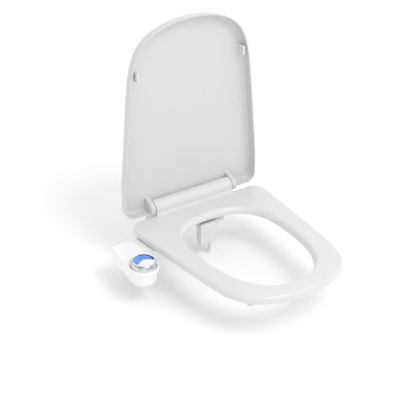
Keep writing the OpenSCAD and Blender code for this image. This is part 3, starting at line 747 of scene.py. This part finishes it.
def make_gate():
    """Guard gate: a hood about its pin with a plate that hangs in front of the nozzles."""
    y0, y1 = GATE_Y - GATE_R, GATE_Y + GATE_R
    outer = arc(GATE_Y, GATE_Z, GATE_R, 180, 0, 24)
    outer += [(GATE_Y + 8, GATE_LOW + 7), (GATE_Y + 6.5, GATE_LOW + 3), (GATE_Y + 3, GATE_LOW)]
    outer += arc(y0 + 2.4, GATE_LOW + 2.4, 2.4, 270, 180, 5)
    solid = prism(outer[::-1], -GATE_HALF, GATE_HALF, 1.3, "x", 4)
    inner = GATE_HALF - 2
    steps = [("DIFFERENCE", rod("x", (GATE_Y, GATE_Z), -inner, inner, GATE_R - 2, 0.3)),
             ("DIFFERENCE", box((-inner, GATE_Y + 2.6, GATE_LOW - 5), (inner, y1 + 9, 0), 0.4, 2)),
             ("DIFFERENCE", box((-inner, y0 + 2, GATE_LOW - 5), (inner, GATE_Y + 3, GATE_Z), 0.6, 2)),
             ("DIFFERENCE", rod("x", (GATE_Y, GATE_Z), -GATE_HALF - 2, GATE_HALF + 2, 1.56,
                                BORE_SOFT, 32))]
    o = bm_object("guard_gate_piece", combine(solid, steps))
    return finish_piece(o, "gate", "spray_white", SPRAY_MAT, "guard_gate")


def make_nozzle(name, x, lift, body):
    """A nozzle tube and its tip, raised by lift from the extended place."""
    low = NOZ_LOW + lift
    tip = [(0, low), (2.6, low), (3.5, low + 0.3), (4.2, low + 0.9), (4.45, low + 1.7),
           (4.5, low + 2.6), (4.5, low + 4.7), (4.2, low + 4.98), (2, low + 5), (2, low + 12),
           (0, low + 12)]
    jet = rod("y", (x, low + 3), NOZ_Y - 9, NOZ_Y, 0.8, BORE_SOFT, 24)
    tip_bm = combine(lathe(tip, 64, "z", (x, NOZ_Y, 0)), [("DIFFERENCE", jet)])
    finish_piece(bm_object(name + "_tip_piece", tip_bm), body, "pod_white", POD_MAT, name + "_tip")
    top = low + NOZ_L
    tube = [(2.0, low + 5), (4.1, low + 5.02), (4.5, low + 5.4), (4.5, top - 0.6), (4.0, top),
            (2.0, top)]
    tube_bm = lathe(tube, 64, "z", (x, NOZ_Y, 0), ring=True)
    finish_piece(bm_object(name + "_nozzle_piece", tube_bm), body, "spray_white", SPRAY_MAT,
                 name + "_nozzle")


# ---------------------------------------------------------------- build

make_seat()
make_seat_bumpers()
make_lid()
make_lid_bumpers()
make_slab()
make_pod()
make_dial()
make_gate()
make_nozzle("rear", NOZ_X, 0, "rear_spray")
make_nozzle("front", -NOZ_X, NOZ_TRAVEL, "front_spray")

# Materials of the CAD nodes that keep their own mesh
CARRIED = {
    "seat_damper": DAMPER_MAT, "lid_damper": DAMPER_MAT, "hinge_pins": STEEL_MAT,
    "hinge_posts": POST_MAT, "foot_covers": POST_MAT, "mounting_studs": STEEL_MAT,
    "cone_washers": GREY_AND_SHADE_MAT, "wing_nuts": POST_MAT, "base_plate": SLAB_MAT,
    "slab_pads": BLACK_MAT, "slab_screws": STEEL_MAT, "pod_bottom": SLAB_MAT,
    "dial_body": POD_MAT, "dial_face": FACE_MAT, "dial_inlay": BLUE_MAT, "dial_mark": MARK_MAT,
    "dial_screw": STEEL_MAT, "valve_body": BRASS_MAT, "valve_bonnet": BRASS_MAT,
    "valve_stem": BRASS_MAT, "valve_disc": DISC_MAT, "valve_rings": BLACK_MAT,
    "inlet_fitting": BRASS_MAT, "inlet_strainer": STEEL_MAT, "rear_tube": TUBE_MAT,
    "front_tube": TUBE_MAT, "nozzle_housing": SPRAY_MAT, "nozzle_seals": BLACK_MAT,
    "gate_pin": STEEL_MAT,
}
for o in list(bpy.data.objects):
    if "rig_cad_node" in o and not o.hide_render:
        key = o["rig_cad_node"] if isinstance(o["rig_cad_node"], str) else o.name
        for s in o.material_slots:
            s.material = CARRIED[key]


# ---------------------------------------------------------------- studio

def area_light(name, where, aim, size, power):
    """White square light at one point that faces another, size in metres and power in watts."""
    light = bpy.data.lights.new(name, "AREA")
    light.shape, light.size, light.energy = "SQUARE", size, power
    o = bpy.data.objects.new(name, light)
    o.location = where
    o.rotation_mode = "QUATERNION"
    o.rotation_quaternion = (Vector(where) - Vector(aim)).to_track_quat("Z", "Y")
    bpy.context.scene.collection.objects.link(o)


def studio():
    """White world a little brighter towards +X, one large light, and a pale floor."""
    dim, bright = 0.84, 1.1
    floor_gap, floor_half = 0.0005, 6
    sc = bpy.context.scene
    world = bpy.data.worlds.new("studio")
    sc.world = world
    world.use_nodes = True
    back = world.node_tree.nodes["Background"]
    back.inputs["Color"].default_value = (1, 1, 1, 1)
    nt = world.node_tree
    coord = nt.nodes.new("ShaderNodeTexCoord")
    split = nt.nodes.new("ShaderNodeSeparateXYZ")
    nt.links.new(coord.outputs["Generated"], split.inputs[0])
    nt.links.new(spread(nt, split.outputs["X"], dim, bright, -1.0, 1.0), back.inputs["Strength"])
    area_light("key", (0.6, -4.0, 5.6), (0, -0.2, 0.1), 2.6, 110)
    bm = bmesh.new()
    bmesh.ops.create_grid(bm, x_segments=1, y_segments=1, size=floor_half)
    me = bpy.data.meshes.new("floor")
    bm.to_mesh(me)
    bm.free()
    floor = bpy.data.objects.new("floor", me)
    floor.location = (0, 0, CAD_BOX[0].z - floor_gap)
    sc.collection.objects.link(floor)
    floor_mat = new_material("floor_white", (0.96, 0.96, 0.96), 0.9, spec=0.1)[0]
    floor.data.materials.append(floor_mat)
    sc.view_settings.view_transform = "Standard"
    sc.view_settings.look = "None"


def camera():
    """The photograph's viewing angle: azimuth -35.7, elevation 30.3, a slight roll, and a long lens."""
    az, el, roll = (math.radians(a) for a in (-35.685, 30.276, 1.566))
    back = Vector((math.sin(az) * math.cos(el), -math.cos(az) * math.cos(el), math.sin(el)))
    right = Vector((math.cos(az), math.sin(az), 0))
    up = back.cross(right)
    x = math.cos(roll) * right + math.sin(roll) * up
    y = -math.sin(roll) * right + math.cos(roll) * up
    data = bpy.data.cameras.new("camera")
    data.sensor_width, data.lens = 36.0, 106.996
    data.clip_start, data.clip_end = 0.05, 60
    o = bpy.data.objects.new("camera", data)
    m = Matrix((x, y, back)).transposed().to_4x4()
    m.translation = Vector((-1.4436, -2.0804, 1.4814))
    o.matrix_world = m
    bpy.context.scene.collection.objects.link(o)
    bpy.context.scene.camera = o


studio()
camera()
bpy.context.view_layer.update()
